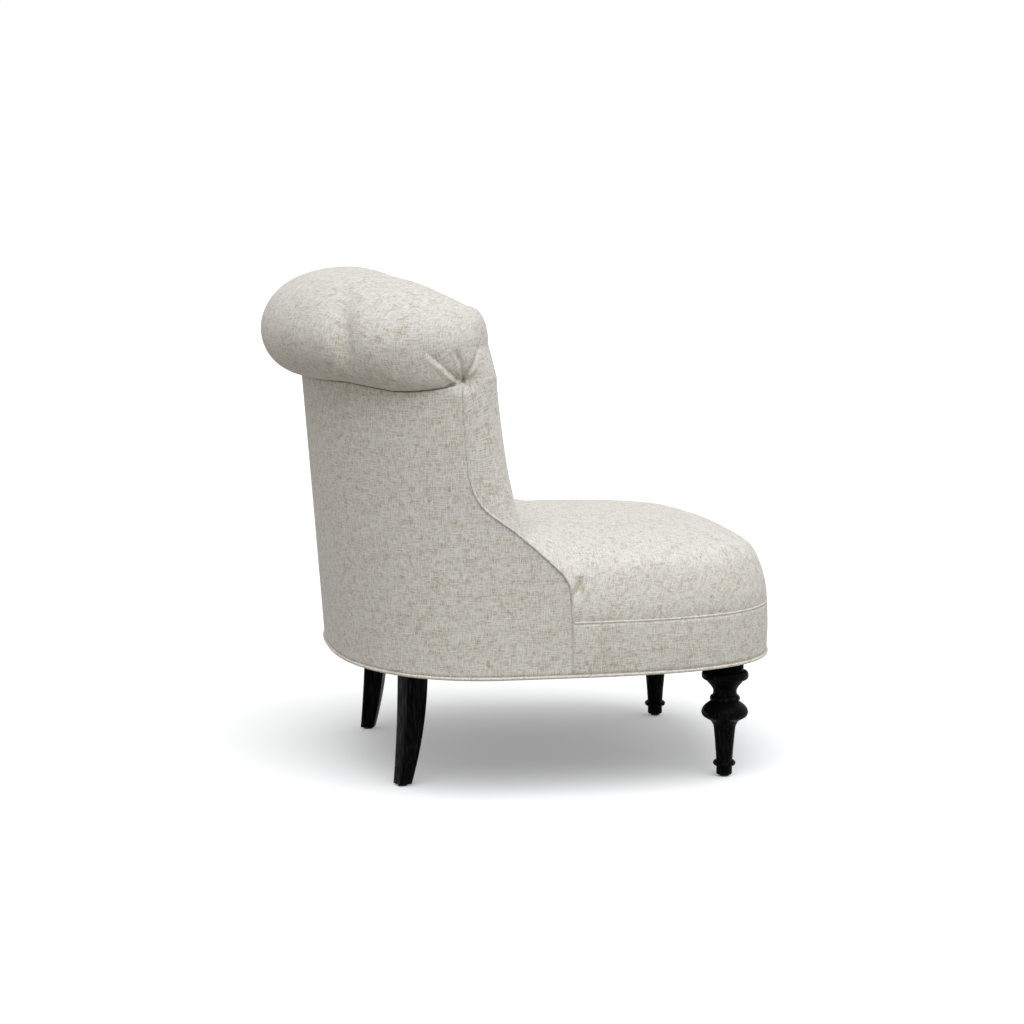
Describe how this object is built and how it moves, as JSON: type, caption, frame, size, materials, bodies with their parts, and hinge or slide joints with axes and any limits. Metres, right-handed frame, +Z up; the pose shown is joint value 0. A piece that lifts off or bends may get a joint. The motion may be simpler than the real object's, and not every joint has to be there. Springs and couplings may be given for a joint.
{
  "type": "slipper chair",
  "caption": "Low armless upholstered chair with a tufted barrel back that rolls over at the top, a domed seat, turned front legs and swept square rear legs.",
  "frame": {"origin": "on the floor, under the middle of the chair's overall box", "axes": "+Z up, the sitter faces -Y, the sitter's left hand is on the +X side"},
  "size_m": [0.7264, 0.8244, 0.8169],
  "materials": {
    "linen_cover": "heathered linen weave, matt",
    "black_lacquered_wood": "black lacquer, satin",
    "frame_timber": "sawn, unfinished",
    "padding_foam": "cut upholstery foam",
    "jute_cloth": "open jute weave",
    "bright_steel": "drawn wire and plain shanks",
    "dust_cloth": "black non-woven cloth",
    "glide_plastic": "moulded nylon"
  },
  "bodies": {
    "root": {"back_foam": "padding_foam", "back_rail": "frame_timber", "back_stile_left": "frame_timber", "back_stile_right": "frame_timber", "back_webbing_1": "jute_cloth", "back_webbing_2": "jute_cloth", "back_webbing_3": "jute_cloth", "base_welt": "linen_cover", "corner_block_front_left": "frame_timber", "corner_block_front_right": "frame_timber", "corner_block_rear_left": "frame_timber", "corner_block_rear_right": "frame_timber", "dust_cover": "dust_cloth", "front_band": "linen_cover", "front_leg_left": "black_lacquered_wood", "front_leg_right": "black_lacquered_wood", "front_rail": "frame_timber", "glide_front_left": "glide_plastic", "glide_front_right": "glide_plastic", "glide_rear_left": "glide_plastic", "glide_rear_right": "glide_plastic", "inside_back_cover": "linen_cover", "leg_bolt_front_left": "bright_steel", "leg_bolt_front_right": "bright_steel", "leg_bolt_rear_left": "bright_steel", "leg_bolt_rear_right": "bright_steel", "outside_cover": "linen_cover", "rear_leg_left": "black_lacquered_wood", "rear_leg_right": "black_lacquered_wood", "roll_foam": "padding_foam", "seat_burlap": "jute_cloth", "seat_cover": "linen_cover", "seat_foam": "padding_foam", "seat_spring_1": "bright_steel", "seat_spring_2": "bright_steel", "seat_spring_3": "bright_steel", "seat_spring_4": "bright_steel", "seat_spring_5": "bright_steel", "seat_welt": "linen_cover", "side_board_left": "frame_timber", "side_board_right": "frame_timber", "side_rail_left": "frame_timber", "side_rail_right": "frame_timber", "side_welt_left": "linen_cover", "side_welt_right": "linen_cover", "top_rail": "frame_timber", "tuft_button_1": "linen_cover", "tuft_button_2": "linen_cover", "tuft_button_3": "linen_cover", "tuft_button_4": "linen_cover", "tuft_button_5": "linen_cover", "tuft_button_6": "linen_cover", "tuft_button_7": "linen_cover", "tuft_button_8": "linen_cover", "tuft_button_9": "linen_cover", "waist_rail_left": "frame_timber", "waist_rail_rear": "frame_timber", "waist_rail_right": "frame_timber", "wing_post_left": "frame_timber", "wing_post_right": "frame_timber"}
  },
  "joints": []
}
